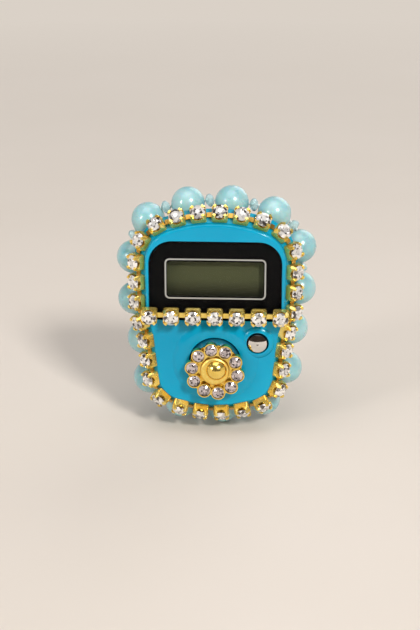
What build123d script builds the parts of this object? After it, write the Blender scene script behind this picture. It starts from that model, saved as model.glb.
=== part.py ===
from build123d import *
import math
import os

# A digital bead counter worn on the finger, trimmed with stone chains and a string of pearls.
# Sizes are in millimetres. The counter is modelled on its back: X to the right, Y towards the
# top of the face, Z out of the face, with Z = 0 on the back. upright() stands it up at the end.

# Case outline, seen from the front, with Y = 0 at its lowest point
case_width = 29.0
case_height = 38.2
waist_in = 1.5
foot_in = 2.9
waist_low_share = 0.398
waist_high_share = 0.492
shoulder_lean = 0.2
top_slope = 20.0
bottom_slope = 14.0
top_round_share = 0.897
shoulder_land = 0.37
waist_round_share = 2.785
corner_round_share = 0.224
bottom_round_share = 0.759

# Case section
rim_chamfer = 1.9
rim_land = 0.4
wall_inset = 2.5
wall = 1.4
deck = 1.6
floor = 1.5
back_round = 1.5
part_line = 5.0
lip_height = 0.8
lip_width = 0.6
fit_gap = 0.1
cut_over = 1.0

# Display deck
head_raise = 1.0
head_share = 0.474
head_corner = 2.0
head_round = 0.45

# Count pad and reset boss
pad_raise = 0.5
pad_margin = 0.7
pad_slope = 2.2
pad_bow = 0.14
boss_radius = 3.0
boss_slope = 0.8
boss_bow = 0.08

# Lens and display
lens_side = 2.8
lens_drop = 5.2
lens_margin = 0.4
lens_corner = 4.1
lens_thick = 1.0
lens_chamfer = 0.12
mask_thick = 0.15
window_side = 3.15
window_low = 4.2
window_high = 3.9
window_corner = 0.6
glass_overlap = 0.5
glass_margin_x = 0.7
glass_margin_y = 1.0
glass_thick = 0.7
glass_ledge = 1.8
reflector_thick = 0.15
holder_wall = 0.4
holder_tray = 0.6
zebra_thick = 1.4
zebra_margin = 1.0

# Circuit board
board_thick = 1.0
contact_room = 1.05
key_room = 3.2
board_gap = 0.3
rest_radius = 0.9
rest_rise = 2.9
blob_radius = 2.6
blob_height = 1.0
capacitor_length = 1.6
capacitor_width = 0.8

# Button cell and its door
cell_radius = 5.8
cell_height = 3.05
cell_cap_radius = 4.6
cell_cap_height = 0.55
cell_round = 0.3
cell_share = 0.67
well_wall = 0.5
door_gap = 0.15
door_sink = 0.05
door_collar = 0.35
tab_reach = 0.9
tab_thick = 0.6
tab_angle = 36.0
tab_play = 8.0
tab_count = 3
coin_slot_length = 8.0
coin_slot_width = 1.3
coin_slot_depth = 0.7
contact_thick = 0.2
contact_width = 2.6
contact_gap = 0.02
contact_foot = 2.0
leaf_root = -4.2
leaf_bend = 1.0
leaf_touch = 3.4
leaf_tip = 4.4

# Keys
count_share = 0.27
count_hole_share = 0.1638
key_gap = 0.2
key_flange = 0.95
key_flange_thick = 1.0
key_edge_drop = 0.4
key_seat_radius = 2.0
key_seat_rise = 1.0
key_bow = 0.3
plunger_radius = 1.6
dome_radius = 3.4
dome_height = 1.8
dome_gap = 0.05
dome_foot = 0.4
dome_roof = 0.6
reset_side_share = 0.262
reset_share = 0.369
reset_hole = 2.0
reset_gap = 0.35
reset_flange = 0.85
reset_flange_thick = 0.75
reset_rise = 0.55
reset_travel = 0.6
reset_crown = 0.4
reset_dome_room = 0.8
reset_plunger_radius = 0.9
reset_dome_share = 0.0655
reset_dome_height = 1.4

# Flower on the count key
flower_drop = 1.0
flower_petals = 10
flower_ring = 4.1
bezel_radius = 1.28
bezel_wall = 0.16
bezel_height = 1.15
flower_plate = 0.35
flower_plate_radius = 4.8
flower_disc = 2.45
flower_disc_height = 1.0
flower_ball = 1.5
flower_ball_rise = 1.1
flower_turn = 9.0

# Screws
screw_radius = 0.6
screw_length = 5.5
screw_head_radius = 1.1
screw_head_height = 0.9
screw_sink = 0.4
screw_play = 0.02
recess_length = 1.6
recess_width = 0.36
recess_depth = 0.45
post_radius = 1.4
top_screw_side = 7.5
top_screw_drop = 6.0
foot_screw_side = 5.0
foot_screw_share = 0.136

# Finger strap
strap_bulge = 1.1
strap_thick = 1.2
strap_width_share = 0.262
strap_share = 0.353
strap_slot_side = 6.3
strap_slot_gap = 0.2
strap_head_over = 1.2
strap_head_height = 1.2

# Stone chain
chain_pitch = 3.74
chain_shift = 0.75
cup_size = 2.8
cup_corner = 0.4
cup_height = 1.75
cup_base = 0.3
cup_scallop = 0.8
claw_size = 0.46
claw_thick = 0.22
claw_inner = 1.12
claw_bend = 0.9
claw_grip = 1.52
stone_radius = 1.28
stone_gap = 0.04
stone_sides = 8
stone_crown = 0.32
stone_set = 0.27
stone_clear = 0.07
girdle_half = 0.05
culet_ratio = 0.12
table_ratio = 0.58
link_width = 0.9
link_thick = 0.3
link_gap = 0.04
bar_side = 2.86
bar_rise = 0.1
bar_tilt = 8.0
seat_gap = 0.08

# Bead string
pearl_radius = 3.0
pearl_gap = 0.04
string_shift = -1.2
spacer_radius = 1.15
spacer_length = 1.4
spacer_land = 0.4
spacer_end = 0.6
spacer_play = 0.2
thread_radius = 0.22
bore_radius = 0.4

# Worked out from the sizes above
top_radius = top_round_share * case_width
top_lean = math.radians(top_slope)
shoulder_run = case_width / 2 / math.cos(top_lean) - top_radius * math.tan(top_lean) - shoulder_land
shoulder_radius = shoulder_run / math.tan(math.radians(90 - top_slope) / 2)
bottom_radius = bottom_round_share * case_width
corner_radius = corner_round_share * case_width
waist_width = case_width - 2 * waist_in
foot_width = case_width - 2 * foot_in
lens_width = case_width - 2 * lens_side
window_width = lens_width - 2 * window_side
waist_low = waist_low_share * case_height
waist_high = waist_high_share * case_height
waist_radius = waist_round_share * (waist_high - waist_low)
head_bottom = head_share * case_height
lens_bottom = head_bottom + lens_margin
lens_height = case_height - lens_drop - lens_bottom
window_height = lens_height - window_low - window_high
window_y = lens_bottom + window_low + window_height / 2
count_y = count_share * case_height
reset_y = reset_share * case_height
cell_y = cell_share * case_height
strap_y = strap_share * case_height
strap_width = strap_width_share * case_height
strap_head_width = strap_width + 2 * strap_head_over
door_radius = cell_radius + door_gap + door_collar
pad_radius = count_y - rim_chamfer - pad_margin
glass_width = window_width + 2 * glass_margin_x
glass_height = window_height + 2 * glass_margin_y
reset_x = reset_side_share * case_width
count_hole = count_hole_share * case_width
strap_slot_x = case_width / 2 - strap_slot_side
board_base = floor + cell_height + contact_room
board_top = board_base + board_thick
rim_height = board_top + key_room + deck
flange = rim_chamfer + rim_land
flange_base = rim_height - flange
ceiling = rim_height - deck
pad_top = rim_height + pad_raise
head_top = rim_height + head_raise
lens_base = head_top - lens_thick
mask_base = lens_base - mask_thick
cavity_inset = wall_inset + wall
reset_dome_radius = reset_dome_share * case_width
reset_plunger_x = waist_width / 2 - cavity_inset - reset_dome_radius - reset_dome_room
glass_top = ceiling - fit_gap / 2
reflector_base = glass_top - 2 * glass_thick - reflector_thick
cell_base = floor
key_seat = pad_top + key_seat_rise
flower_y = count_y - flower_drop
strap_mid = strap_slot_x + strap_bulge
strap_centre = -math.sqrt(strap_mid ** 2 - strap_slot_x ** 2)
string_out = pearl_radius + pearl_gap - wall_inset
string_height = flange_base - pearl_radius
top_screw = (case_width / 2 - top_screw_side, case_height - top_screw_drop)
foot_screw = (foot_width / 2 - foot_screw_side, foot_screw_share * case_height)
screw_points = [(sx * x, y) for x, y in (top_screw, foot_screw) for sx in (-1, 1)]


def rounded_corner(before, corner, after, radius):
    """The tangent arc at a corner, as its start, middle and end."""
    one = (Vector(before) - Vector(corner)).normalized()
    two = (Vector(after) - Vector(corner)).normalized()
    half = math.radians(one.get_angle(two)) / 2
    run = radius / math.tan(half)
    middle = (one + two).normalized() * (radius / math.sin(half) - radius)
    return Vector(corner) + one * run, Vector(corner) + middle, Vector(corner) + two * run


def rounded_outline(points, radii):
    """A closed face of straight runs joined by tangent arcs."""
    count = len(points)
    arcs = [rounded_corner(points[k - 1], points[k], points[(k + 1) % count], radii[k]) for k in range(count)]
    edges = []
    for k, (start, middle, end) in enumerate(arcs):
        edges.append(ThreePointArc(start, middle, end))
        edges.append(Line(end, arcs[(k + 1) % count][0]))
    return make_face(edges)


def case_corners():
    """Corners of the shield outline of the case, anticlockwise, and the radius at each."""
    top_tan = math.tan(top_lean)
    top_sink = top_radius * (1 / math.cos(top_lean) - 1)
    bottom_tan = math.tan(math.radians(bottom_slope))
    bottom_sink = bottom_radius * (1 / math.cos(math.radians(bottom_slope)) - 1)
    side = case_width / 2
    foot = foot_width / 2
    apex = case_height + top_sink
    right = [
        (foot, foot * bottom_tan - bottom_sink),
        (waist_width / 2, waist_low),
        (side - shoulder_lean, waist_high),
        (side, apex - side * top_tan),
    ]
    left = [(-x, y) for x, y in reversed(right)]
    radii = [corner_radius, waist_radius, waist_radius, shoulder_radius]
    points = [(0, -bottom_sink)] + right + [(0, apex)] + left
    return points, [bottom_radius] + radii + [top_radius] + radii[::-1]


def inset_face(inset):
    """The case outline moved inwards by a given amount, outwards if negative."""
    points, radii = case_corners()
    count = len(points)
    corners = []
    rounds = []
    for k in range(count):
        corner = Vector(points[k])
        one = (corner - Vector(points[k - 1])).normalized()
        two = (Vector(points[(k + 1) % count]) - corner).normalized()
        inwards = Vector(-one.Y - two.Y, one.X + two.X)
        corners.append(corner + inwards * (inset / (1 + one.dot(two))))
        rounds.append(radii[k] - inset * math.copysign(1, one.cross(two).Z))
    return rounded_outline(corners, rounds)


case_face = inset_face(0)


def slab(face, low, high):
    """A face of the XY plane turned into a solid between two heights."""
    return extrude(Pos(0, 0, low) * face, high - low, dir=(0, 0, 1))


def disc(radius, low, high, x=0, y=0):
    """A round solid between two heights."""
    return Pos(x, y, low) * Cylinder(radius, high - low, align=(Align.CENTER, Align.CENTER, Align.MIN))


def block(x0, x1, y0, y1, z0, z1):
    """A box between given limits."""
    return Pos(x0, y0, z0) * Box(x1 - x0, y1 - y0, z1 - z0, align=Align.MIN)


def capped_disc(radius, crown, low, high, x, y, sign):
    """A round solid whose upper end, or lower end with sign -1, is a spherical crown."""
    ball = (radius ** 2 + crown ** 2) / (2 * crown)
    tip = high if sign > 0 else low
    return disc(radius, low, high, x, y) & Pos(x, y, tip - sign * ball) * Sphere(ball)


def turned(points, x=0, y=0):
    """A solid of revolution about Z from points of radius and height."""
    profile = make_face(Polyline(*[(r, 0, z) for r, z in points], close=True))
    return Pos(x, y, 0) * revolve(profile, Axis.Z)


def bowed(start, finish, bow):
    """An arc in the XZ plane that stands out from its chord by a given amount."""
    run = Vector(finish) - Vector(start)
    middle = (Vector(start) + Vector(finish)) * 0.5
    return ThreePointArc(start, middle + Vector(-run.Z, 0, run.X).normalized() * -bow, finish)


def soft_pad(radius, slope, bow, x, y):
    """A low round pad on the deck whose edge rolls off along an arc."""
    flat = radius - slope
    low = rim_height - rim_land
    edge = bowed((radius, 0, rim_height), (flat, 0, pad_top), bow)
    rest = Polyline((flat, 0, pad_top), (0, 0, pad_top), (0, 0, low), (radius, 0, low),
                    (radius, 0, rim_height))
    return Pos(x, y, 0) * revolve(make_face(edge + rest), Axis.Z)


def lens_face(margin=0.0):
    """The outline of the lens: square below, with large upper corners."""
    width = lens_width + 2 * margin
    height = lens_height + 2 * margin
    face = Pos(0, lens_bottom - margin + height / 2) * Rectangle(width, height)
    return fillet(face.vertices().group_by(Axis.Y)[-1], lens_corner + margin)


def window_face(width, height, corner):
    """A rounded opening round the middle of the display."""
    return Pos(0, window_y) * RectangleRounded(width, height, corner)


def display_head():
    """The raised deck that carries the lens."""
    inset = rim_chamfer + fit_gap
    keep = RectangleRounded(case_width - 2 * inset, case_height, head_corner)
    face = inset_face(inset) & Pos(0, head_bottom + case_height / 2) * keep
    head = slab(face, rim_height - rim_land, head_top)
    return fillet(head.edges().group_by(Axis.Z)[-1], head_round)


def screw_boss(x, y):
    """A boss of the front case that takes one case screw."""
    return disc(post_radius, part_line, ceiling, x, y)


def front_case():
    """The face moulding with its rim flange, decks, openings and screw bosses."""
    low_rim = rim_height - rim_chamfer
    body = slab(case_face, flange_base, low_rim)
    upper_face = inset_face(rim_chamfer)
    body += loft([Pos(0, 0, low_rim) * case_face, Pos(0, 0, rim_height) * upper_face], ruled=True)
    body += slab(inset_face(wall_inset), part_line, flange_base)
    body += display_head()
    body += soft_pad(pad_radius, pad_slope, pad_bow, 0, count_y)
    body += soft_pad(boss_radius, boss_slope, boss_bow, reset_x, reset_y)
    body -= slab(inset_face(cavity_inset), part_line, ceiling)
    body -= slab(inset_face(cavity_inset - lip_width - fit_gap), part_line, part_line + lip_height + fit_gap)
    for x, y in screw_points:
        body += screw_boss(x, y) & slab(inset_face(wall_inset + wall / 2), part_line, ceiling)
        body -= disc(screw_radius, part_line, ceiling - deck / 2, x, y)
    body -= slab(lens_face(fit_gap), mask_base, head_top + cut_over)
    sight = window_face(glass_width - 2 * glass_overlap, glass_height - 2 * glass_overlap, window_corner)
    body -= slab(sight, ceiling - cut_over, head_top)
    body -= disc(count_hole, ceiling - cut_over, pad_top + cut_over, 0, count_y)
    reset_low = ceiling - reset_flange_thick - reset_travel - 2 * fit_gap
    body -= disc(reset_hole, reset_low, pad_top + cut_over, reset_x, reset_y)
    return body


def strap_section(thick, reach):
    """The strap's section: a ring about the finger with two straight ends into the case."""
    inner = strap_mid - thick / 2
    outer = strap_mid + thick / 2
    lift = math.asin(-strap_centre / strap_mid)
    ring = Circle(outer) - Circle(inner)
    gap = Polygon((0, 0), (3 * outer * math.cos(lift), 3 * outer * math.sin(lift)),
                  (-3 * outer * math.cos(lift), 3 * outer * math.sin(lift)), align=None)
    section = ring - gap
    for sx in (-1, 1):
        end = Pos(sx * strap_slot_x, -strap_centre) * Rot(0, 0, sx * math.degrees(lift))
        section += end * Pos(0, reach / 2) * Rectangle(thick, reach)
    return Pos(0, strap_centre) * section


def strap_band(section, width):
    """A strap section given its width along Y."""
    plane = Plane(origin=(0, strap_y + width / 2, 0), x_dir=(1, 0, 0), z_dir=(0, -1, 0))
    return extrude(plane * section, width)


def strap_reach(height):
    """Length of strap from the back face to a given height inside the case."""
    return height / math.cos(math.asin(-strap_centre / strap_mid))


def finger_strap():
    """The soft band, with a wide head on each end that stops it in its slot."""
    head_low = floor + strap_slot_gap
    head_high = head_low + strap_head_height
    section = strap_section(strap_thick, strap_reach(head_high))
    band = strap_band(section, strap_width)
    heads = strap_band(section, strap_head_width)
    heads &= block(-case_width, case_width, 0, case_height, head_low, head_high)
    return band + heads


def rear_post(x, y):
    """A post of the rear case that a case screw passes through."""
    return disc(post_radius, floor / 2, part_line, x, y)


def ring_sector(inner, outer, low, high, angle):
    """A sector of a ring about the cell's axis, centred on the +X direction."""
    half = math.radians(angle / 2)
    reach = 2 * outer
    wedge = Polygon((0, 0), (reach, -reach * math.tan(half)), (reach, reach * math.tan(half)), align=None)
    ring = disc(outer, low, high) - disc(inner, low, high)
    return ring & slab(wedge, low, high)


def around_cell(solid, start):
    """Copies of a solid at equal angles about the cell's axis."""
    step = 360 / tab_count
    return [Pos(0, cell_y) * Rot(0, 0, start + k * step) * solid for k in range(tab_count)]


def rear_case():
    """The back moulding with the cell well, door opening, strap slots and posts."""
    body = slab(inset_face(wall_inset), 0, part_line)
    body = fillet(body.edges().group_by(Axis.Z)[0], back_round)
    body -= slab(inset_face(cavity_inset), floor, part_line)
    lip = slab(inset_face(cavity_inset - lip_width), part_line, part_line + lip_height)
    lip -= slab(inset_face(cavity_inset), part_line, part_line + lip_height)
    for x, y in screw_points:
        lip -= disc(post_radius + fit_gap, part_line, part_line + lip_height, x, y)
    body += lip
    tab_radius = door_radius + tab_reach
    well_top = cell_base + cell_height
    well_radius = tab_radius + 2 * door_gap + well_wall
    body += disc(well_radius, floor, well_top, 0, cell_y)
    body -= disc(tab_radius + 2 * door_gap, floor, floor + tab_thick + 2 * door_gap, 0, cell_y)
    body -= disc(cell_radius + door_gap, floor, well_top, 0, cell_y)
    body -= disc(door_radius + door_gap, 0, floor, 0, cell_y)
    entry = ring_sector(door_radius, tab_radius + door_gap, 0, floor, tab_angle + tab_play)
    for notch in around_cell(entry, 90 + 180 / tab_count):
        body -= notch
    body -= block(cell_radius - 1, tab_radius, cell_y - contact_width, cell_y + contact_width,
                  floor + tab_thick + 2 * door_gap, well_top)
    for x, y in screw_points:
        body += rear_post(x, y) & slab(inset_face(wall_inset + wall / 2), 0, part_line)
        body -= disc(screw_radius + fit_gap, 0, part_line, x, y)
        body -= disc(screw_head_radius + fit_gap, 0, screw_sink + screw_head_height, x, y)
    for x, y in board_rests():
        body += disc(rest_radius, floor, board_base, x, y)
    slots = strap_band(strap_section(strap_thick + 2 * strap_slot_gap, strap_reach(floor) + cut_over),
                       strap_width + 2 * strap_slot_gap)
    body -= slots & block(-case_width, case_width, 0, case_height, -cut_over, floor)
    return body


def board_rests():
    """Places of the pegs on the rear case that carry the circuit board."""
    x = case_width / 2 - cavity_inset - board_gap - rest_radius
    y = cell_y + rest_rise
    return [(-x, y), (x, y), (0, cavity_inset + board_gap + rest_radius)]


def battery_door():
    """The round cover of the cell, with its collar, locking tabs and coin slot."""
    top = floor - door_sink
    tab_high = floor + door_sink + tab_thick
    inner = door_radius - door_collar
    door = turned([(0, door_sink), (door_radius, door_sink), (door_radius, tab_high), (inner, tab_high),
                   (inner, top), (0, top)], 0, cell_y)
    tab = ring_sector(inner + door_collar / 2, door_radius + tab_reach, floor + door_sink, tab_high,
                      tab_angle)
    for piece in around_cell(tab, 90):
        door += piece
    slot = block(-coin_slot_length / 2, coin_slot_length / 2, -coin_slot_width / 2, coin_slot_width / 2,
                 0, door_sink + coin_slot_depth)
    return door - Pos(0, cell_y) * slot


def case_screws():
    """Four self-tapping screws with a cross recess, put in from the back."""
    base = screw_sink
    shank = base + screw_head_height
    screw = disc(screw_head_radius, base, shank)
    screw += disc(screw_radius - screw_play, shank, shank + screw_length)
    for turn in (0, 90):
        recess = Pos(0, 0, base + recess_depth / 2) * Box(recess_length, recess_width, recess_depth)
        screw -= Rot(0, 0, turn) * recess
    return [Pos(x, y) * screw for x, y in screw_points]


def display_lens():
    """The clear plate set in the display deck."""
    lens = slab(lens_face(), lens_base, head_top)
    return chamfer(lens.edges().group_by(Axis.Z)[-1], lens_chamfer)


def lens_mask():
    """The black film under the lens, with the display window."""
    return slab(lens_face() - window_face(window_width, window_height, window_corner), mask_base, lens_base)


def glass_plate(height, top, thick):
    """One plate of the display, flush with the lower edge of the others."""
    low = window_y - glass_height / 2
    return block(-glass_width / 2, glass_width / 2, low, low + height, top - thick, top)


def lcd_holder():
    """The frame that carries the display on the circuit board."""
    room_width = glass_width + 2 * fit_gap
    room_height = glass_height + 2 * fit_gap
    outer = Pos(0, window_y) * Rectangle(room_width + 2 * holder_wall, room_height + 2 * holder_wall)
    inner = Pos(0, window_y) * Rectangle(room_width, room_height)
    frame = slab(outer - inner, board_top, glass_top)
    low = window_y - room_height / 2
    high = low + fit_gap + glass_height - glass_ledge
    half = room_width / 2
    return frame + block(-half, half, low, high, reflector_base - holder_tray, reflector_base)


def zebra_strip():
    """The contact strip between the ledge of the upper glass and the board."""
    high = window_y + glass_height / 2 - fit_gap
    half = glass_width / 2 - zebra_margin
    return block(-half, half, high - zebra_thick, high, board_top, glass_top - glass_thick)


def circuit_board():
    """The board, cut to the cavity and round the screw bosses."""
    board = slab(inset_face(cavity_inset + board_gap), board_base, board_top)
    for x, y in screw_points:
        board -= disc(post_radius + board_gap, board_base, board_top, x, y)
    return board


def chip_blob():
    """The drop of epoxy over the counter chip, on the back of the board."""
    return capped_disc(blob_radius, blob_height, board_base - blob_height, board_base, 0, strap_y, -1)


def chip_capacitor():
    """A chip capacitor beside the blob."""
    x = -blob_radius - capacitor_length
    half = capacitor_length / 2
    side = capacitor_width / 2
    return block(x - half, x + half, count_y - side, count_y + side, board_base - capacitor_width, board_base)


def battery_cell():
    """A button cell, its can towards the door and its cap towards the board."""
    can_top = cell_base + cell_height - cell_cap_height
    can = disc(cell_radius, cell_base, can_top, 0, cell_y)
    can = fillet(can.edges().filter_by(GeomType.CIRCLE), cell_round)
    return can + disc(cell_cap_radius, can_top, can_top + cell_cap_height, 0, cell_y)


def battery_spring_contact():
    """A leaf under the board that presses on the cell's cap."""
    low = cell_base + cell_height
    t = contact_thick
    path = [(leaf_root, board_base), (leaf_bend, board_base), (leaf_touch, low + t), (leaf_tip, low + t),
            (leaf_tip, low), (leaf_touch - t / 2, low), (leaf_bend - t / 2, board_base - t),
            (leaf_root, board_base - t)]
    side = make_face(Polyline(*[(x, 0, z) for x, z in path], close=True))
    return Pos(0, cell_y) * extrude(side, contact_width / 2, dir=(0, 1, 0), both=True)


def battery_side_contact():
    """A strip from the board down the side of the cell's can."""
    x = cell_radius + contact_gap
    low = cell_base + tab_thick + 4 * door_gap
    side = contact_width / 2
    strip = block(x, x + contact_thick, -side, side, low, board_base)
    foot = block(x, x + contact_foot, -side, side, board_base - contact_thick, board_base)
    return Pos(0, cell_y) * (strip + foot)


def contact_dome(radius, height, x, y):
    """A hollow silicone dome that returns a key."""
    base = board_top
    top = base + height
    roof = top - dome_roof
    neck = radius / 2
    points = [(radius, base), (radius, base + dome_foot), (neck, roof), (neck, top), (0, top), (0, roof),
              (neck - dome_foot, roof), (radius - dome_foot, base)]
    return turned(points, x, y)


def count_key():
    """The domed key: plunger, retaining flange and a crown with a flat seat."""
    top = ceiling - fit_gap
    base = top - key_flange_thick
    radius = count_hole - key_gap
    edge = pad_top - key_edge_drop
    tip = board_top + dome_height + dome_gap
    reach = count_hole + key_flange - key_gap
    lower = Polyline((key_seat_radius, 0, key_seat), (0, 0, key_seat), (0, 0, tip), (plunger_radius, 0, tip),
                     (plunger_radius, 0, base), (reach, 0, base), (reach, 0, top), (radius, 0, top),
                     (radius, 0, edge))
    crown = bowed((radius, 0, edge), (key_seat_radius, 0, key_seat), key_bow)
    return Pos(0, count_y) * revolve(make_face(lower + crown), Axis.Z)


def petal_places():
    """Centres of the flower's petals."""
    step = 360 / flower_petals
    return [Pos(0, flower_y) * Rot(0, 0, 90 + flower_turn + k * step) * Pos(flower_ring, 0, key_seat)
            for k in range(flower_petals)]


def flower_setting():
    """The gold casting: a plate, ten round settings and a disc with a ball."""
    base = key_seat
    setting = disc(flower_plate_radius, base, base + flower_plate, 0, flower_y)
    setting += disc(flower_disc, base, base + flower_disc_height, 0, flower_y)
    ball = Pos(0, flower_y, base + flower_disc_height + flower_ball_rise - flower_ball) * Sphere(flower_ball)
    setting += ball & disc(2 * flower_ball, base, base + flower_disc_height + flower_ball, 0, flower_y)
    tube = disc(bezel_radius, 0, bezel_height)
    hollow = disc(bezel_radius - bezel_wall, flower_plate, bezel_height)
    for place in petal_places():
        setting += place * tube
    for place in petal_places():
        setting -= place * hollow
    return setting


def faceted_stone(radius, girdle, crown, pavilion):
    """A round cut stone: table, crown facets, girdle and pavilion, girdle at the given height."""
    sections = [(culet_ratio * radius, girdle - pavilion), (radius, girdle - girdle_half),
                (radius, girdle + girdle_half), (table_ratio * radius, girdle + crown)]
    faces = [Pos(0, 0, z) * RegularPolygon(r, stone_sides) for r, z in sections]
    return loft(faces, ruled=True)


def flower_stones():
    """The stones of the ten petals."""
    radius = bezel_radius - bezel_wall - stone_gap / 2
    girdle = bezel_height - 2 * girdle_half
    stone = faceted_stone(radius, girdle, stone_crown, girdle - girdle_half - flower_plate)
    return [place * stone for place in petal_places()]


def reset_key():
    """The reset pin with its crown, retaining flange and offset plunger."""
    radius = reset_hole - reset_gap
    top = ceiling - fit_gap
    base = top - reset_flange_thick
    pin = capped_disc(radius, reset_crown, base, pad_top + reset_rise, reset_x, reset_y, 1)
    flat = slab(Pos(reset_x, reset_y) * Circle(reset_hole + reset_flange - reset_gap), base, top)
    flat &= slab(inset_face(cavity_inset + key_gap), base, top)
    tip = board_top + reset_dome_height + dome_gap
    return pin + flat + disc(reset_plunger_radius, tip, base, reset_plunger_x, reset_y)


def chain_cup():
    """A stamped cup: square base, scalloped walls and four corner claws."""
    half = cup_size / 2
    cup = slab(RectangleRounded(cup_size, cup_size, cup_corner), 0, cup_height)
    room = Pos(0, 0, cup_base) * RegularPolygon(stone_radius + stone_gap, stone_sides)
    cup -= extrude(room, cup_height, dir=(0, 0, 1))
    scallop = Pos(0, 0, cup_height) * Rot(90, 0, 0) * Cylinder(cup_scallop, 2 * cup_size)
    for turn in (0, 90):
        cup -= Rot(0, 0, turn) * scallop
    reach = (half - cup_corner) * math.sqrt(2) + cup_corner
    side = claw_size / 2
    top = cup_height + claw_thick
    for k in range(4):
        claw = block(claw_inner, reach, -side, side, cup_height, top)
        cup += Rot(0, 0, 45 + 90 * k) * claw
    return cup & turned([(0, 0), (reach, 0), (reach, claw_bend), (claw_grip, top), (0, top)])


def chain_stone():
    """The stone of a chain cup, held under the claws."""
    girdle = cup_height - stone_set
    return faceted_stone(stone_radius, girdle, stone_crown + claw_thick, girdle - stone_clear - cup_base)


def start_of(wire, top):
    """Where the top middle lies on a closed wire, and the sign of a clockwise walk."""
    start = wire.param_at_point(Vector(0, top, 0))
    sign = 1 if wire.tangent_at(start).X > 0 else -1
    return start, sign


def rim_planes():
    """Seats of the rim cups on the chamfer, clockwise from just past the top middle."""
    inset = rim_chamfer / 2
    wire = inset_face(inset).wire()
    count = round(wire.length / chain_pitch)
    start, sign = start_of(wire, case_height - inset)
    planes = []
    for k in range(count):
        u = (start + sign * (k / count + chain_shift / wire.length)) % 1
        point = wire.position_at(u)
        along = wire.tangent_at(u) * sign
        facing = Vector(-along.Y, along.X, 1).normalized()
        seat = Vector(point.X, point.Y, rim_height - inset) + facing * seat_gap
        planes.append(Plane(origin=seat, x_dir=along, z_dir=facing))
    return planes


def bar_planes():
    """Seats of the cups across the lower edge of the lens."""
    lean = math.radians(bar_tilt)
    y = head_bottom + bar_rise + cup_size / 2 * math.cos(lean)
    z = head_top + cup_size / 2 * math.sin(lean)
    end = case_width / 2 - bar_side
    gaps = round(2 * end / chain_pitch)
    step = 2 * end / gaps
    facing = (0, -math.sin(lean), math.cos(lean))
    return [Plane(origin=(-end + k * step, y, z), x_dir=(1, 0, 0), z_dir=facing) for k in range(gaps + 1)]


def chain_link(first, second):
    """The flat bar between two neighbouring cups."""
    half = cup_size / 2
    start = first.from_local_coords((half, 0, link_thick / 2))
    finish = second.from_local_coords((-half, 0, link_thick / 2))
    run = finish - start
    bend = math.radians(first.x_dir.get_angle(second.x_dir)) / 2
    length = run.length - 2 * (link_gap + link_width / 2 * math.tan(bend))
    plane = Plane(origin=(start + finish) * 0.5, x_dir=run, z_dir=first.z_dir + second.z_dir)
    return plane * Box(length, link_width, link_thick)


def on_planes(shape, planes):
    """One copy of a shape on each plane."""
    return [plane * shape for plane in planes]


def links_between(planes, closed):
    """The links of a chain of cups."""
    pairs = list(zip(planes, planes[1:]))
    if closed:
        pairs.append((planes[-1], planes[0]))
    return [chain_link(a, b) for a, b in pairs]


def string_places():
    """Centre and direction of each pearl, clockwise from near the top middle."""
    wire = inset_face(-string_out).wire()
    count = int(wire.length / (2 * pearl_radius + 2 * pearl_gap + spacer_length + spacer_play))
    start, sign = start_of(wire, case_height + string_out)
    places = []
    for k in range(count):
        u = (start + sign * ((k + 0.5) / count + string_shift / wire.length)) % 1
        point = wire.position_at(u)
        places.append((Vector(point.X, point.Y, string_height), wire.tangent_at(u) * sign))
    return places


def thread_points():
    """Corners of the thread: straight through each pearl, and straight from pearl to pearl."""
    reach = pearl_radius + pearl_gap
    points = []
    for centre, along in string_places():
        points.append(centre - along * reach)
        points.append(centre + along * reach)
    return points


def pearls():
    """The drilled pearls."""
    pearl = Sphere(pearl_radius) - Cylinder(bore_radius, 3 * pearl_radius)
    return [Plane(origin=centre, z_dir=along) * pearl for centre, along in string_places()]


def spacer_beads():
    """The small drilled beads between the pearls."""
    points = thread_points()
    half = spacer_length / 2
    land = spacer_land / 2
    bead = turned([(bore_radius, -half), (spacer_end, -half), (spacer_radius, -land), (spacer_radius, land),
                   (spacer_end, half), (bore_radius, half)])
    gaps = [(points[k], points[(k + 1) % len(points)]) for k in range(1, len(points), 2)]
    return [Plane(origin=(a + b) * 0.5, z_dir=b - a) * bead for a, b in gaps]


def bead_thread():
    """The closed thread, straight through each pearl and each spacer bead."""
    points = thread_points()
    start = (points[0] + points[1]) * 0.5
    path = Polyline(start, *points[1:], points[0], start)
    section = Plane(origin=start, z_dir=points[1] - points[0]) * Circle(thread_radius)
    return sweep(section, path, transition=Transition.RIGHT)


def upright(shape):
    """Stand a shape up: face to -Y, top to +Z, base at Z = 0 and the middle of the depth at Y = 0."""
    front = key_seat + flower_disc_height + flower_ball_rise
    back = strap_centre - strap_mid - strap_thick / 2
    return Pos(0, (front + back) / 2, string_out + pearl_radius) * Rot(90, 0, 0) * shape


cup = chain_cup()
stone = chain_stone()
rim = rim_planes()
bar = bar_planes()
glass_low = glass_top - glass_thick

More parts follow.
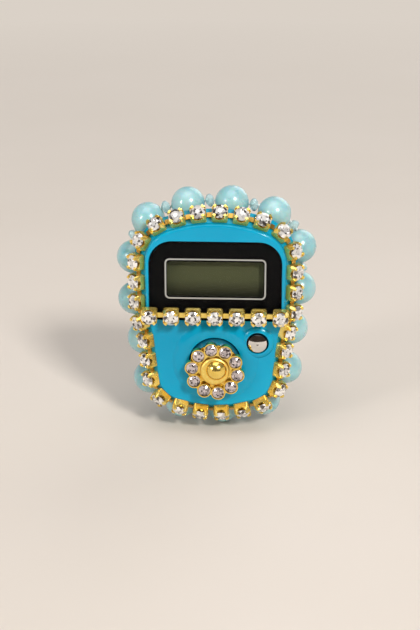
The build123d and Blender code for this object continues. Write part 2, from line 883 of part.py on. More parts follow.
nodes = {
    "front_case": front_case(),
    "rear_case": rear_case(),
    "battery_door": battery_door(),
    "case_screws": case_screws(),
    "finger_strap": finger_strap(),
    "display_lens": display_lens(),
    "lens_mask": lens_mask(),
    "lcd_upper_glass": glass_plate(glass_height, glass_top, glass_thick),
    "lcd_lower_glass": glass_plate(glass_height - glass_ledge, glass_low, glass_thick),
    "lcd_reflector": glass_plate(glass_height - glass_ledge, glass_low - glass_thick, reflector_thick),
    "lcd_holder": lcd_holder(),
    "zebra_strip": zebra_strip(),
    "circuit_board": circuit_board(),
    "chip_blob": chip_blob(),
    "chip_capacitor": chip_capacitor(),
    "battery_cell": battery_cell(),
    "battery_spring_contact": battery_spring_contact(),
    "battery_side_contact": battery_side_contact(),
    "count_key": count_key(),
    "count_dome": contact_dome(dome_radius, dome_height, 0, count_y),
    "flower_setting": flower_setting(),
    "flower_stones": flower_stones(),
    "reset_key": reset_key(),
    "reset_dome": contact_dome(reset_dome_radius, reset_dome_height, reset_plunger_x, reset_y),
    "rim_cups": on_planes(cup, rim),
    "rim_links": links_between(rim, True),
    "rim_stones": on_planes(stone, rim),
    "bar_cups": on_planes(cup, bar),
    "bar_links": links_between(bar, False),
    "bar_stones": on_planes(stone, bar),
    "pearls": pearls(),
    "spacer_beads": spacer_beads(),
    "bead_thread": bead_thread(),
}

os.makedirs("parts", exist_ok=True)
for name, shape in nodes.items():
    solids = shape if isinstance(shape, list) else [shape]
    placed = [upright(piece) for piece in solids]
    export_step(placed[0] if len(placed) == 1 else Compound(placed), f"parts/{name}.step")
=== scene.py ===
import math
import random

import bmesh
import bpy
from mathutils import Matrix, Vector


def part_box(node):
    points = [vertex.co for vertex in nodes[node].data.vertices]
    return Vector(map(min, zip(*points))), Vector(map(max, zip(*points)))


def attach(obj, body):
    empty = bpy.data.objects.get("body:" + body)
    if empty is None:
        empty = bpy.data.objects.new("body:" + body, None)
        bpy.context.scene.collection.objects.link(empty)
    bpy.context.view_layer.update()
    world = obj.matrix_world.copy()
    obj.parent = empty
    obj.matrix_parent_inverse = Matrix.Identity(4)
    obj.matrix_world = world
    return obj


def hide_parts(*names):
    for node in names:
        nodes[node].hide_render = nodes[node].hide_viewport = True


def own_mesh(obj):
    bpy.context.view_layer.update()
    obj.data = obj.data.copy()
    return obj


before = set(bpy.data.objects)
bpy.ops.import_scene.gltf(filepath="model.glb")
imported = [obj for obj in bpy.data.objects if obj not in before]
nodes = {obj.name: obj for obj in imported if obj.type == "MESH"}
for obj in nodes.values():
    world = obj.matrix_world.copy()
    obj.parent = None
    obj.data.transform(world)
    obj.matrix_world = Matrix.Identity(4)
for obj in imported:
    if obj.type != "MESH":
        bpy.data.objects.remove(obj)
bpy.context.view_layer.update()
scene = bpy.context.scene
scene.view_settings.view_transform = "Standard"

# A millimetre, where the back of the case lies along Y, and what counts as one point, in metres
MM = 0.001
CASE_BACK = 0.3565 * MM
MERGE = 1e-6
TOLERANCE = 0.02 * MM
rng = random.Random(7)

# Camera: angles in degrees, lengths in metres
CAMERA_RISE = 19.6
CAMERA_TURN = 2.7
CAMERA_DISTANCE = 265.1 * MM
CAMERA_LENS = 85
CAMERA_SENSOR = 36
FACE_MIDDLE = Vector((0, CASE_BACK - 11.4 * MM, 22.0 * MM))
AIM_LEFT = 0.94 * MM
AIM_UP = 0.70 * MM

# Stage: floor radius, curve and wall, and the dark card in front, in metres
FLOOR_RADIUS = 0.9
FLOOR_CURVE = 0.3
WALL_TOP = (1.22, 0.42)
FLOOR_STEPS = 64
FLOOR_NEAR = 0.12
FLOOR_FAR = 0.5
CARD_DISTANCE = 0.16
CARD_CORNERS = ((-0.14, 0.002), (0.16, 0.002), (0.16, 0.095), (-0.14, 0.095))
LAMP_TARGET = Vector((0, 0, 0.022))
WORLD_COLOUR = (0.93, 0.95, 1.0, 1)
WORLD_STRENGTH = 0.2

# Lamps: name, place, size, power and colour
LAMPS = (
    ("key", (0.38, -0.72, 0.62), 0.17, 7.2, (1, 0.97, 0.93)),
    ("fill", (-0.65, -0.61, 0.34), 0.20, 2.2, (1, 0.97, 0.94)),
    ("top", (-0.09, -0.17, 0.88), 0.71, 2.9, (1, 0.98, 0.96)),
    ("back", (0.5, 0.85, 0.55), 0.90, 3.8, (1, 0.98, 0.96)),
)

# Cut stones: how bright a painted glint on a facet or a table may be, and the share of the radius at each
# ring
PAINTED_FACET_GLINTS = (0.0, 0.25, 0.6, 0.9, 1.0, 1.0)
PAINTED_TABLE_GLINTS = (0.65, 0.85, 1.0)
STONE_SIDES = 8
INNER_SHARE = 0.3
INNER_SINK = 0.1
TABLE_SHARE = 0.56
STAR_SHARE = 0.78
STAR_DROP = 0.42
GIRDLE_HEIGHT = 0.08 * MM

# Faceted spacers: sides, then share of the radius, height in millimetres and turn of each ring
BEAD_SIDES = 10
BEAD_RINGS = ((0.5, -0.7, 0), (0.95, -0.3, 0.5), (1.0, 0, 0), (0.95, 0.3, 0.5), (0.5, 0.7, 0))

# Finger strap: radius, half width, half thickness at the middle, beads and edges, and where they start
STRAP_RADIUS = 9.3 * MM
STRAP_HALF = 5.0 * MM
STRAP_THIN = 0.5
STRAP_BEAD = 0.6
STRAP_EDGE = 0.48
STRAP_TIP = 0.2 * MM
EDGE_FROM = 0.95
BEAD_FROM = 0.75
STRAP_SHARES = (-0.96, -0.9, -0.78, -0.4, 0.0, 0.4, 0.78, 0.9, 0.96)
STRAP_STEPS = 120
STRAP_ENDS = 4
STRAP_END_STEP = 0.55 * MM

# Grip ribs of the strap: height, first and last step, steps from rib to rib and share of the width
RIB_RISE = 0.12 * MM
RIB_FIRST = 46
RIB_LAST = 74
RIB_PERIOD = 4
RIB_SHARE = 0.6

# Middle of the flower: radius and height of the disc's profile in millimetres, and the ball
DISC_PROFILE = ((0, 0.2), (1.9, 0.18), (2.2, 0.14), (2.45, 0.04), (2.58, -0.1), (2.62, -0.3), (0, -0.3))
DISC_DEPTH = 1.1 * MM
BALL_RADIUS = 2.05 * MM
BALL_TOP = 1.35 * MM
BALL_STEPS = 12
BALL_ASIDE = Vector((0.3 * MM, 0, 0.28 * MM))
BOSS_STEPS = 64

# Count key: width of its flange, and of the band of painted shade that deepens its colour at its edge
KEY_FLANGE = 0.95 * MM
KEY_PAINTED_SHADE = 1.3 * MM

# Rubber domes: share of the radius and of the height along the profile
DOME_PROFILE = ((0, 1), (0.46, 1), (0.5, 0.96), (0.52, 0.7), (0.97, 0.24), (1, 0.2), (1, 0),
                (0.88, 0), (0.38, 0.66), (0, 0.66))
DOME_STEPS = 48


def linear(red, green, blue):
    """A colour given in screen values from 0 to 255, as a shader colour."""
    out = []
    for value in (red, green, blue):
        v = value / 255
        out.append(v / 12.92 if v <= 0.04045 else ((v + 0.055) / 1.055) ** 2.4)
    return (*out, 1.0)


# Camera, at the viewing angle of the photograph
def make_camera():
    """A camera a little above and to the right of the face's normal."""
    rise, turn = math.radians(CAMERA_RISE), math.radians(CAMERA_TURN)
    back = Vector((math.sin(turn) * math.cos(rise), -math.cos(turn) * math.cos(rise), math.sin(rise)))
    right = Vector((math.cos(turn), math.sin(turn), 0))
    up = back.cross(right)
    aim = FACE_MIDDLE - right * AIM_LEFT + up * AIM_UP
    data = bpy.data.cameras.new("camera")
    data.lens = CAMERA_LENS
    data.sensor_width = CAMERA_SENSOR
    data.clip_start = 0.01
    camera = bpy.data.objects.new("camera", data)
    camera.matrix_world = Matrix((right, up, back)).transposed().to_4x4()
    camera.location = aim + back * CAMERA_DISTANCE
    scene.collection.objects.link(camera)
    scene.camera = camera


# Floor and light
def lamp(name, place, size, power, colour):
    """A soft square lamp that points at the middle of the object."""
    data = bpy.data.lights.new(name, "AREA")
    data.size = size
    data.energy = power
    data.color = colour
    obj = bpy.data.objects.new(name, data)
    obj.location = place
    obj.rotation_euler = (LAMP_TARGET - Vector(place)).to_track_quat("-Z", "Y").to_euler()
    scene.collection.objects.link(obj)


def make_floor():
    """A pale floor that curves up into a low wall all round."""
    profile = [(0, 0), (FLOOR_RADIUS, 0)]
    for bend in (0.3, 0.6, 0.9, 1.2, 1.5):
        reach = FLOOR_RADIUS + FLOOR_CURVE * math.sin(bend)
        profile.append((reach, FLOOR_CURVE - FLOOR_CURVE * math.cos(bend)))
    profile.append(WALL_TOP)
    bm = bmesh.new()
    path = [bm.verts.new((r, 0, z)) for r, z in profile]
    edges = [bm.edges.new(pair) for pair in zip(path, path[1:])]
    bmesh.ops.spin(bm, geom=path + edges, axis=(0, 0, 1), cent=(0, 0, 0),
                   angle=2 * math.pi, steps=FLOOR_STEPS)
    bmesh.ops.remove_doubles(bm, verts=bm.verts, dist=MERGE)
    floor = new_object("floor", bm)
    pale = linear(218, 209, 199)
    floor.data.materials.append(finish("floor", pale, linear(221, 212, 203), 12, (0.75, 0.85)))
    pale_backdrop(floor.data.materials[0], FLOOR_NEAR, FLOOR_FAR, pale)
    return floor


def make_card():
    """A dark card in front of the object that only reflections show."""
    bm = bmesh.new()
    bm.faces.new([bm.verts.new((x, -CARD_DISTANCE, z)) for x, z in CARD_CORNERS])
    card = new_object("flag", bm)
    card.data.materials.append(finish("flag", linear(52, 42, 36), linear(66, 54, 46), 20, (0.8, 0.9)))
    card.visible_camera = False
    card.visible_diffuse = False
    card.visible_transmission = False
    card.visible_shadow = False
    return card


def make_stage():
    """The floor, the dark card, four soft lamps and a dim sky."""
    floor = make_floor()
    flag = make_card()
    for row in LAMPS:
        lamp(*row)
    world = bpy.data.worlds.new("studio")
    world.use_nodes = True
    scene.world = world
    background = world.node_tree.nodes["Background"]
    background.inputs["Color"].default_value = WORLD_COLOUR
    background.inputs["Strength"].default_value = WORLD_STRENGTH


# Finishes
def noise(tree, place, scale, detail=3.0):
    """The value of a noise pattern."""
    node = tree.nodes.new("ShaderNodeTexNoise")
    node.inputs["Scale"].default_value = scale
    node.inputs["Detail"].default_value = detail
    tree.links.new(place, node.inputs["Vector"])
    return node.outputs["Fac"]


def ramp(tree, value, low, dark, high, light):
    """A colour between two others, from where a value lies between two limits."""
    node = tree.nodes.new("ShaderNodeValToRGB")
    node.color_ramp.elements[0].position = low
    node.color_ramp.elements[0].color = dark
    node.color_ramp.elements[1].position = high
    node.color_ramp.elements[1].color = light
    tree.links.new(value, node.inputs["Fac"])
    return node.outputs["Color"]


def spread(tree, value, low, high):
    """A noise value stretched to a range."""
    node = tree.nodes.new("ShaderNodeMapRange")
    node.inputs["From Min"].default_value = 0.3
    node.inputs["From Max"].default_value = 0.7
    node.inputs["To Min"].default_value = low
    node.inputs["To Max"].default_value = high
    tree.links.new(value, node.inputs["Value"])
    return node.outputs["Result"]


def finish(name, dark, light, scale, rough, bump=(0, 0), **sockets):
    """A finish of two mottled colours, with uneven gloss and, where asked for, a fine bump."""
    material = bpy.data.materials.new(name)
    material.use_nodes = True
    tree = material.node_tree
    bsdf = tree.nodes["Principled BSDF"]
    place = tree.nodes.new("ShaderNodeTexCoord").outputs["Object"]
    tree.links.new(ramp(tree, noise(tree, place, scale), 0.35, dark, 0.65, light), bsdf.inputs["Base Color"])
    tree.links.new(spread(tree, noise(tree, place, scale * 3), *rough), bsdf.inputs["Roughness"])
    if bump[0]:
        node = tree.nodes.new("ShaderNodeBump")
        node.inputs["Strength"].default_value = 1.0
        node.inputs["Distance"].default_value = bump[1]
        tree.links.new(noise(tree, place, bump[0]), node.inputs["Height"])
        tree.links.new(node.outputs["Normal"], bsdf.inputs["Normal"])
    for socket, value in sockets.items():
        bsdf.inputs[socket.replace("_", " ")].default_value = value
    return material


def position(tree):
    """The three coordinates of a point on the object, as sockets."""
    split = tree.nodes.new("ShaderNodeSeparateXYZ")
    tree.links.new(tree.nodes.new("ShaderNodeTexCoord").outputs["Object"], split.inputs["Vector"])
    return split.outputs


def maths(tree, operation, first, second=None):
    """One step of arithmetic on values or plain numbers."""
    node = tree.nodes.new("ShaderNodeMath")
    node.operation = operation
    for socket, value in zip(node.inputs, (first, second)):
        if isinstance(value, (int, float)):
            socket.default_value = value
        elif value is not None:
            tree.links.new(value, socket)
    return node.outputs["Value"]


def add_frame_line(material, width, height, corner, line, middle, dark, light):
    """Print a rounded rectangular line on a dark film."""
    tree = material.node_tree
    bsdf = tree.nodes["Principled BSDF"]
    place = position(tree)
    across = maths(tree, "SUBTRACT", maths(tree, "ABSOLUTE", place["X"]), width / 2 - corner)
    above = maths(tree, "ABSOLUTE", maths(tree, "SUBTRACT", place["Z"], middle))
    above = maths(tree, "SUBTRACT", above, height / 2 - corner)
    outer_x = maths(tree, "POWER", maths(tree, "MAXIMUM", across, 0), 2)
    outer_z = maths(tree, "POWER", maths(tree, "MAXIMUM", above, 0), 2)
    outside = maths(tree, "SQRT", maths(tree, "ADD", outer_x, outer_z))
    inside = maths(tree, "MINIMUM", maths(tree, "MAXIMUM", across, above), 0)
    away = maths(tree, "SUBTRACT", maths(tree, "ADD", outside, inside), corner)
    on_line = maths(tree, "LESS_THAN", maths(tree, "ABSOLUTE", away), line / 2)
    tree.links.new(ramp(tree, on_line, 0.0, dark, 1.0, light), bsdf.inputs["Base Color"])


def pale_backdrop(material, near, far, colour):
    """Keep the far floor and the wall pale in sight and in reflections, without lighting the object."""
    tree = material.node_tree
    place = position(tree)
    squares = [maths(tree, "POWER", place[axis], 2) for axis in "XY"]
    away = maths(tree, "SQRT", maths(tree, "ADD", *squares))
    share = maths(tree, "DIVIDE", maths(tree, "SUBTRACT", away, near), far - near)
    share = maths(tree, "MINIMUM", maths(tree, "MAXIMUM", share, 0), 1)
    rays = tree.nodes.new("ShaderNodeLightPath").outputs
    seen = maths(tree, "ADD", rays["Is Camera Ray"], rays["Is Glossy Ray"])
    seen = maths(tree, "MINIMUM", maths(tree, "ADD", seen, rays["Is Transmission Ray"]), 1)
    glow = tree.nodes.new("ShaderNodeEmission")
    glow.inputs["Color"].default_value = colour
    mix = tree.nodes.new("ShaderNodeMixShader")
    tree.links.new(maths(tree, "MULTIPLY", share, seen), mix.inputs["Fac"])
    tree.links.new(tree.nodes["Principled BSDF"].outputs["BSDF"], mix.inputs[1])
    tree.links.new(glow.outputs["Emission"], mix.inputs[2])
    tree.links.new(mix.outputs["Shader"], tree.nodes["Material Output"].inputs["Surface"])


def glint_facet_finish(name, dark, light):
    """Foil-backed cut glass with painted glints: each facet keeps the brightness stored on it, standing in
    for the reflection it sparkles with.
    """
    material = bpy.data.materials.new(name)
    material.use_nodes = True
    tree = material.node_tree
    bsdf = tree.nodes["Principled BSDF"]
    painted_glints = tree.nodes.new("ShaderNodeAttribute")
    painted_glints.attribute_name = "facet"
    tree.links.new(ramp(tree, painted_glints.outputs["Fac"], 0.0, dark, 1.0, light), bsdf.inputs["Base Color"])
    place = tree.nodes.new("ShaderNodeTexCoord").outputs["Object"]
    tree.links.new(spread(tree, noise(tree, place, 4000), 0.03, 0.10), bsdf.inputs["Roughness"])
    bsdf.inputs["Metallic"].default_value = 0.42
    bsdf.inputs["Coat Weight"].default_value = 1.0
    bsdf.inputs["Coat Roughness"].default_value = 0.02
    return material


def paint_rim_shade(material, middle, inner, outer, dark):
    """Deepen the colour of a round key towards its sunken edge: painted shade for the shadow that the rim of
    its hole casts.
    """
    tree = material.node_tree
    bsdf = tree.nodes["Principled BSDF"]
    place = position(tree)
    across = maths(tree, "POWER", maths(tree, "SUBTRACT", place["X"], middle.x), 2)
    above = maths(tree, "POWER", maths(tree, "SUBTRACT", place["Z"], middle.z), 2)
    away = maths(tree, "SQRT", maths(tree, "ADD", across, above))
    share = maths(tree, "DIVIDE", maths(tree, "SUBTRACT", away, inner), outer - inner)
    mix = tree.nodes.new("ShaderNodeMixRGB")
    mix.inputs["Color2"].default_value = dark
    tree.links.new(share, mix.inputs["Fac"])
    tree.links.new(bsdf.inputs["Base Color"].links[0].from_socket, mix.inputs["Color1"])
    tree.links.new(mix.outputs["Color"], bsdf.inputs["Base Color"])


def plate_crown_paint_shank_shade(material, edge, dark):
    """Leave the plating on a pin's crown alone, with a plain dark shank behind the edge: painted shade that
    stands for the deep gap round the pin.
    """
    tree = material.node_tree
    bsdf = tree.nodes["Principled BSDF"]
    place = position(tree)
    plated = maths(tree, "LESS_THAN", place["Y"], edge)
    light = bsdf.inputs["Base Color"].links[0].from_socket
    mix = tree.nodes.new("ShaderNodeMixRGB")
    mix.inputs["Color1"].default_value = dark
    tree.links.new(plated, mix.inputs["Fac"])
    tree.links.new(light, mix.inputs["Color2"])
    tree.links.new(mix.outputs["Color"], bsdf.inputs["Base Color"])
    tree.links.new(plated, bsdf.inputs["Metallic"])


def see_through(material, ior):
    """Let light through a clear plate, apart from what its gloss sends back."""
    tree = material.node_tree
    fresnel = tree.nodes.new("ShaderNodeFresnel")
    fresnel.inputs["IOR"].default_value = ior
    mix = tree.nodes.new("ShaderNodeMixShader")
    tree.links.new(fresnel.outputs["Fac"], mix.inputs["Fac"])
    tree.links.new(tree.nodes.new("ShaderNodeBsdfTransparent").outputs["BSDF"], mix.inputs[1])
    tree.links.new(tree.nodes["Principled BSDF"].outputs["BSDF"], mix.inputs[2])
    tree.links.new(mix.outputs["Shader"], tree.nodes["Material Output"].inputs["Surface"])


def add_shade(material, low, high, dark, light):
    """Darken the lower edge of the display."""
    tree = material.node_tree
    place = position(tree)
    share = maths(tree, "DIVIDE", maths(tree, "SUBTRACT", place["Z"], low), high - low)
    shade = ramp(tree, share, 0.0, dark, 1.0, light)
    tree.links.new(shade, tree.nodes["Principled BSDF"].inputs["Base Color"])


def make_finishes():
    """All finishes, by name."""
    turquoise = linear(2, 146, 185), linear(5, 159, 197)
    gold = linear(246, 210, 98), linear(254, 232, 140)
    made = {
        "case": finish("case_plastic", *turquoise, 60, (0.14, 0.24), (900, 4e-6),
                       Specular_IOR_Level=0.25, Coat_Weight=0.12, Coat_Roughness=0.04),
        "key": finish("key_plastic", linear(8, 146, 182), linear(12, 156, 192), 80, (0.14, 0.24), (900, 4e-6),
                      Specular_IOR_Level=0.25, Coat_Weight=0.12, Coat_Roughness=0.05),
        "strap": finish("strap_silicone", linear(20, 146, 172), linear(30, 158, 184), 120, (0.42, 0.55),
                        (6000, 6e-6), Sheen_Weight=0.25),
        "gold": finish("chain_gold", *gold, 500, (0.08, 0.2), (2600, 9e-6), Metallic=0.78),
        # Painted shade: the rim links take a darker copy of the chain gold, for the shade they lie in between
        # the cups
        "link": finish("link_gold_painted_shade", linear(186, 142, 58), linear(214, 172, 86), 500, (0.12, 0.24),
                       (2600, 9e-6), Metallic=0.8),
        "flower": finish("flower_gold", linear(246, 206, 96), linear(255, 226, 128), 420, (0.14, 0.26),
                         (2400, 9e-6), Metallic=0.97),
        "satin": finish("flower_satin", linear(250, 214, 104), linear(255, 230, 136), 2600, (0.34, 0.46),
                        (5200, 1.6e-5), Metallic=0.9),
        "chrome": finish("reset_chrome", linear(216, 214, 210), linear(232, 230, 228), 500, (0.03, 0.09),
                         (3000, 1e-6), Metallic=1.0),
        "lens": finish("lens_clear", linear(244, 246, 246), linear(250, 250, 250), 300, (0.01, 0.04),
                       Metallic=1.0),
        "mask": finish("mask_black", linear(8, 9, 11), linear(13, 14, 16), 400, (0.35, 0.5),
                       Specular_IOR_Level=0.1),
        "lcd": finish("lcd_polariser", linear(74, 78, 50), linear(86, 90, 60), 90, (0.30, 0.42),
                      Specular_IOR_Level=0.1),
        "steel": finish("screw_steel", linear(150, 150, 152), linear(182, 182, 184), 900, (0.25, 0.4),
                        (4000, 4e-6), Metallic=1.0),
        "board": finish("board_laminate", linear(20, 84, 46), linear(28, 98, 56), 400, (0.4, 0.55)),
        "dark": finish("dark_parts", linear(22, 22, 24), linear(34, 34, 36), 500, (0.4, 0.6)),
        "pale": finish("pale_parts", linear(206, 206, 200), linear(220, 220, 214), 300, (0.45, 0.6)),
        "pearl": finish("pearl_lacquer", linear(124, 183, 193), linear(161, 205, 209), 200, (0.26, 0.36),
                        (700, 5e-6), IOR=1.7, Coat_Weight=0.6, Coat_Roughness=0.06,
                        Subsurface_Weight=0.4, Subsurface_Scale=0.0015),
        "clear": finish("spacer_glass", linear(196, 232, 236), linear(226, 246, 248), 700, (0.01, 0.05),
                        Transmission_Weight=0.55, IOR=1.4),
        "thread": finish("thread", linear(206, 222, 222), linear(226, 236, 236), 3000, (0.2, 0.3)),
        # Painted glints: the dark and light colours of the stones' facets stand in for their reflections
        "stone": glint_facet_finish("chain_glass", linear(74, 68, 66), linear(248, 246, 243)),
        "petal": glint_facet_finish("flower_glass", linear(56, 46, 46), linear(206, 194, 194)),
    }
    low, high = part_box("count_key")
    edge = (high.x - low.x) / 2 - KEY_FLANGE
    # Painted shade: the count key turns deep blue towards its edge, standing in for the shadow in its hole
    paint_rim_shade(made["key"], (low + high) / 2, edge - KEY_PAINTED_SHADE, edge, linear(2, 58, 76))
    see_through(made["lens"], 1.1)
    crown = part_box("reset_key")[0].y
    # Painted shade: behind the crown, the reset pin's shank and flange are near black so the gap round it
    # reads as shadow
    plate_crown_paint_shank_shade(made["chrome"], crown + 0.7 * MM, linear(14, 16, 18))
    low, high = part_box("lcd_upper_glass")
    middle = (low.z + high.z) / 2
    add_frame_line(made["mask"], 17.65 * MM, 7.2 * MM, 0.75 * MM, 0.27 * MM, middle,
                   linear(4, 4, 5), linear(172, 172, 168))
    add_shade(made["lcd"], middle - 3.4 * MM, middle - 0.5 * MM, linear(40, 40, 27), linear(70, 74, 50))
    return made


# New pieces
def new_object(name, bm, smooth=True):
    """A mesh object in the row frame from a bmesh."""
    mesh = bpy.data.meshes.new(name)
    bmesh.ops.recalc_face_normals(bm, faces=bm.faces)
    bm.to_mesh(mesh)
    bm.free()
    for face in mesh.polygons:
        face.use_smooth = smooth
    obj = bpy.data.objects.new(name, mesh)
    scene.collection.objects.link(obj)
    return obj


def islands(node):
    """The separate solids of a node, each as vertices and as area-weighted face normals."""
    bm = bmesh.new()
    bm.from_mesh(nodes[node].data)
    bmesh.ops.remove_doubles(bm, verts=bm.verts, dist=MERGE)
    bm.verts.index_update()
    bm.faces.index_update()
    seen = set()
    found = []
    for first in bm.verts:
        if first.index in seen:
            continue
        seen.add(first.index)
        group = [first]
        for vert in group:
            for edge in vert.link_edges:
                other = edge.other_vert(vert)
                if other.index not in seen:
                    seen.add(other.index)
                    group.append(other)
        faces = {face.index: face for vert in group for face in vert.link_faces}
        weights = [(face.normal.copy(), face.calc_area()) for face in faces.values()]
        found.append(([vert.co.copy() for vert in group], weights))
    bm.free()
    return found


def seat_of(points, weights):
    """Where a stone's table is: its middle, the way it faces, and the stone's radius."""
    totals = {}
    for normal, area in weights:
        key = tuple(round(c, 2) for c in normal)
        totals[key] = totals.get(key, 0) + area
    axis = Vector(max(totals, key=totals.get)).normalized()
    top = max(p.dot(axis) for p in points)
    table = [p for p in points if top - p.dot(axis) < TOLERANCE]
    middle = sum(table, Vector()) / len(table)
    radius = max(((p - middle) - axis * (p - middle).dot(axis)).length for p in points)
    return middle, axis, radius


def cut_stone(bm, layer, middle, axis, radius, crown, depth):
    """One round brilliant: a table that shows the back facets, stars, kites, girdle and a pointed back."""
    turn = axis.to_track_quat("Z", "Y").to_matrix() @ Matrix.Rotation(rng.uniform(0, 0.7), 3, "Z")

    def ring(count, share, z, phase):
        angles = [(k + phase) * 2 * math.pi / count for k in range(count)]
        spots = [Vector((share * radius * math.cos(a), share * radius * math.sin(a), z)) for a in angles]
        return [bm.verts.new(middle + turn @ spot) for spot in spots]

    sides = STONE_SIDES
    table = ring(sides, TABLE_SHARE, 0, 0)
    star = ring(sides, STAR_SHARE, -STAR_DROP * crown, 0.5)
    girdle = ring(2 * sides, 1.0, -crown, 0)
    low = ring(2 * sides, 1.0, -crown - GIRDLE_HEIGHT, 0)
    inner = ring(sides, INNER_SHARE, -INNER_SINK * radius, 0.5)
    culet = bm.verts.new(middle - axis * depth)
    faces = [bm.faces.new(inner)]
    for k in range(sides):
        ahead = (k + 1) % sides
        one, two, three = girdle[2 * k], girdle[2 * k + 1], girdle[2 * ahead]
        faces.append(bm.faces.new((inner[k], table[k], table[ahead])))
        faces.append(bm.faces.new((inner[k - 1], table[k], inner[k])))
        faces.append(bm.faces.new((table[k], star[k], table[ahead])))
        faces.append(bm.faces.new((table[k], star[k - 1], one, star[k])))
        faces.append(bm.faces.new((star[k], one, two)))
        faces.append(bm.faces.new((star[k], two, three)))
    for k in range(2 * sides):
        ahead = (k + 1) % (2 * sides)
        faces.append(bm.faces.new((girdle[k], low[k], low[ahead], girdle[ahead])))
        faces.append(bm.faces.new((low[k], culet, low[ahead])))
    # Painted glints: each facet takes a random brightness for the reflection it would show, the table one of
    # the brighter ones
    for face in faces:
        face[layer] = rng.choice(PAINTED_FACET_GLINTS)
    faces[0][layer] = rng.choice(PAINTED_TABLE_GLINTS)


def cut_stones(name, node, body, material, growth, crown, depth):
    """Cut stones in place of a node's plain ones."""
    bm = bmesh.new()
    layer = bm.faces.layers.float.new("facet")
    for points, weights in islands(node):
        middle, axis, radius = seat_of(points, weights)
        cut_stone(bm, layer, middle, axis, growth * radius, crown, depth)
    stones = new_object(name, bm, smooth=False)
    stones.data.materials.append(material)
    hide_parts(node)
    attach(stones, body)


def bead_turn(points, middle, size):
    """The turn that brings Z to the axis of a bead."""
    near = [p for p in points if abs((p - middle).length - size) < TOLERANCE]
    normal = Vector()
    for point in near[1:]:
        step = (near[0] - middle).cross(point - middle)
        normal += step if step.dot(normal) >= 0 else -step
    return normal.normalized().to_track_quat("Z", "Y").to_matrix()


def faceted_beads(material):
    """Cut glass beads in place of the plain spacers."""
    bm = bmesh.new()
    for points, _ in islands("spacer_beads"):
        middle = sum(points, Vector()) / len(points)
        size = max((p - middle).length for p in points)
        turn = bead_turn(points, middle, size)
        rings = []
        for share, height, phase in BEAD_RINGS:
            reach = size * share
            angles = [(k + phase) * 2 * math.pi / BEAD_SIDES for k in range(BEAD_SIDES)]
            spots = [Vector((reach * math.cos(a), reach * math.sin(a), height * MM)) for a in angles]
            rings.append([bm.verts.new(middle + turn @ spot) for spot in spots])
        for one, two, phase in zip(rings, rings[1:], (0, 1, 0, 1)):
            for k in range(BEAD_SIDES):
                ahead = (k + 1) % BEAD_SIDES
                bm.faces.new((one[k], one[ahead], two[ahead] if phase else two[k]))
                bm.faces.new((two[k], two[ahead], one[k] if phase else one[ahead]))
        bm.faces.new(rings[0])
        bm.faces.new(rings[-1])
    beads = new_object("cut_spacers", bm, smooth=False)
    beads.data.materials.append(material)
    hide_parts("spacer_beads")
    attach(beads, "case")


def strap_section():
    """The band's section as thickness and width, round its rim."""
    section = []
    for side in (1, -1):
        for share in STRAP_SHARES:
            thick = STRAP_THIN
            if abs(share) > BEAD_FROM:
                thick = STRAP_EDGE if abs(share) > EDGE_FROM else STRAP_BEAD
            section.append((side * thick * MM, side * share * STRAP_HALF))
    middle = len(STRAP_SHARES)
    section[middle:middle] = [(STRAP_TIP, STRAP_HALF), (-STRAP_TIP, STRAP_HALF)]
    return section + [(-STRAP_TIP, -STRAP_HALF), (STRAP_TIP, -STRAP_HALF)]


def strap_mesh(material):
    """The silicone band: rounded edges, a bead along each edge and grip ribs at the back."""
    low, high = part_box("finger_strap")
    centre = Vector((0, high.y - STRAP_RADIUS - STRAP_BEAD * MM, (low.z + high.z) / 2))
    start = math.asin((CASE_BACK - centre.y) / STRAP_RADIUS)
    section = strap_section()
    bm = bmesh.new()
    rings = []
    for k in range(-STRAP_ENDS, STRAP_STEPS + STRAP_ENDS + 1):
        share = min(max(k / STRAP_STEPS, 0), 1)
        angle = start + share * (math.pi - 2 * start)
        out = Vector((math.cos(angle), math.sin(angle), 0))
        along = Vector((-math.sin(angle), math.cos(angle), 0))
        over = (min(k, 0) + max(k - STRAP_STEPS, 0)) * STRAP_END_STEP
        rib = RIB_RISE if RIB_FIRST < k < RIB_LAST and k % RIB_PERIOD < RIB_PERIOD / 2 else 0
        ring = []
        for thick, wide in section:
            lift = rib if thick > STRAP_TIP and abs(wide) < RIB_SHARE * STRAP_HALF else 0
            spot = centre + out * (STRAP_RADIUS + thick + lift) + along * over
            ring.append(bm.verts.new(spot + Vector((0, 0, wide))))
        rings.append(ring)
    size = len(section)
    for one, two in zip(rings, rings[1:]):
        for k in range(size):
            ahead = (k + 1) % size
            bm.faces.new((one[k], one[ahead], two[ahead], two[k]))
    bm.faces.new(rings[0])
    bm.faces.new(rings[-1])
    strap = new_object("strap_band", bm)
    strap.data.materials.append(material)
    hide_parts("finger_strap")
    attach(strap, "case")


def lathe(bm, profile, centre, steps):
    """Turn a profile of radius and outward height about an axis along Y."""
    path = [bm.verts.new((centre.x + r, centre.y - h, centre.z)) for r, h in profile]
    edges = [bm.edges.new(pair) for pair in zip(path, path[1:])]
    bmesh.ops.spin(bm, geom=path + edges, axis=(0, 1, 0), cent=centre, angle=2 * math.pi, steps=steps)
    bmesh.ops.remove_doubles(bm, verts=bm.verts, dist=1e-7)


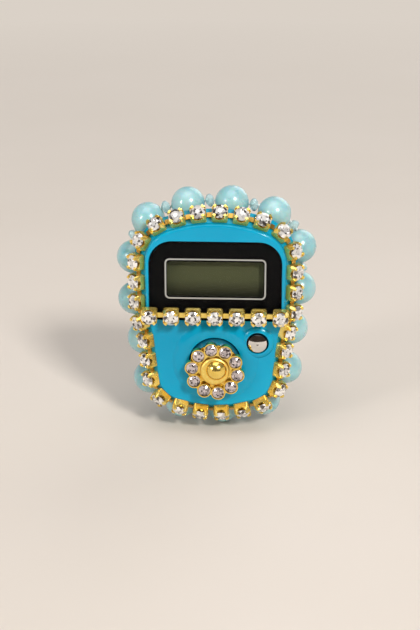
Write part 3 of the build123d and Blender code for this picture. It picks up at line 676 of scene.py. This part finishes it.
def flower_boss(satin, polished):
    """The satin disc in the middle of the flower and the polished ball on it, a little off the middle."""
    low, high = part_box("flower_setting")
    centre = Vector(((low.x + high.x) / 2, low.y + DISC_DEPTH, (low.z + high.z) / 2))
    disc = [(r * MM, h * MM) for r, h in DISC_PROFILE]
    foot = math.acos((BALL_RADIUS - BALL_TOP) / BALL_RADIUS)
    angles = [foot * k / BALL_STEPS for k in range(BALL_STEPS + 1)]
    ball = [(BALL_RADIUS * math.sin(a), BALL_TOP - BALL_RADIUS + BALL_RADIUS * math.cos(a)) for a in angles]
    ball.append((0, 0))
    pieces = (("flower_disc", disc, centre, satin), ("flower_ball", ball, centre + BALL_ASIDE, polished))
    for name, profile, place, material in pieces:
        bm = bmesh.new()
        lathe(bm, profile, place, BOSS_STEPS)
        piece = new_object(name, bm)
        piece.data.materials.append(material)
        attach(piece, "count_key")


def soft_dome(name, node, material):
    """A rubber dome under a key, turned from a profile, with a mesh of its own."""
    low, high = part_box(node)
    foot = Vector(((low.x + high.x) / 2, high.y, (low.z + high.z) / 2))
    radius = (high.x - low.x) / 2
    tall = high.y - low.y
    bm = bmesh.new()
    lathe(bm, [(r * radius, h * tall) for r, h in DOME_PROFILE], foot, DOME_STEPS)
    dome = new_object(name, bm)
    dome.data.materials.append(material)
    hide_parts(node)
    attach(dome, "case")
    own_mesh(dome)


NODE_FINISH = {
    "front_case": "case",
    "rear_case": "case",
    "battery_door": "case",
    "count_key": "key",
    "case_screws": "steel",
    "display_lens": "lens",
    "lens_mask": "mask",
    "lcd_upper_glass": "lcd",
    "lcd_lower_glass": "lcd",
    "lcd_reflector": "pale",
    "lcd_holder": "pale",
    "zebra_strip": "dark",
    "circuit_board": "board",
    "chip_blob": "dark",
    "chip_capacitor": "pale",
    "battery_cell": "steel",
    "battery_spring_contact": "steel",
    "battery_side_contact": "steel",
    "flower_setting": "flower",
    "reset_key": "chrome",
    "rim_cups": "gold",
    "rim_links": "link",
    "bar_cups": "gold",
    "bar_links": "gold",
    "pearls": "pearl",
    "bead_thread": "thread",
}

# Stones: piece, node, body, finish, slot, growth, and height of crown and whole stone in millimetres
STONE_SETS = (
    ("cut_rim_stones", "rim_stones", "case", "stone", "chain_glass", 1.06, 0.42, 1.2),
    ("cut_bar_stones", "bar_stones", "case", "stone", "chain_glass", 1.06, 0.42, 1.2),
    ("cut_flower_stones", "flower_stones", "count_key", "petal", "flower_glass", 0.97, 0.3, 0.9),
)

make_camera()
finishes = make_finishes()
make_stage()
for node, look in NODE_FINISH.items():
    nodes[node].data.materials.clear()
    nodes[node].data.materials.append(finishes[look])
for name, node, body, look, slot, growth, crown, depth in STONE_SETS:
    cut_stones(name, node, body, finishes[look], growth, crown * MM, depth * MM)
faceted_beads(finishes["clear"])
strap_mesh(finishes["strap"])
soft_dome("count_dome_rubber", "count_dome", finishes["pale"])
soft_dome("reset_dome_rubber", "reset_dome", finishes["pale"])
flower_boss(finishes["satin"], finishes["flower"])
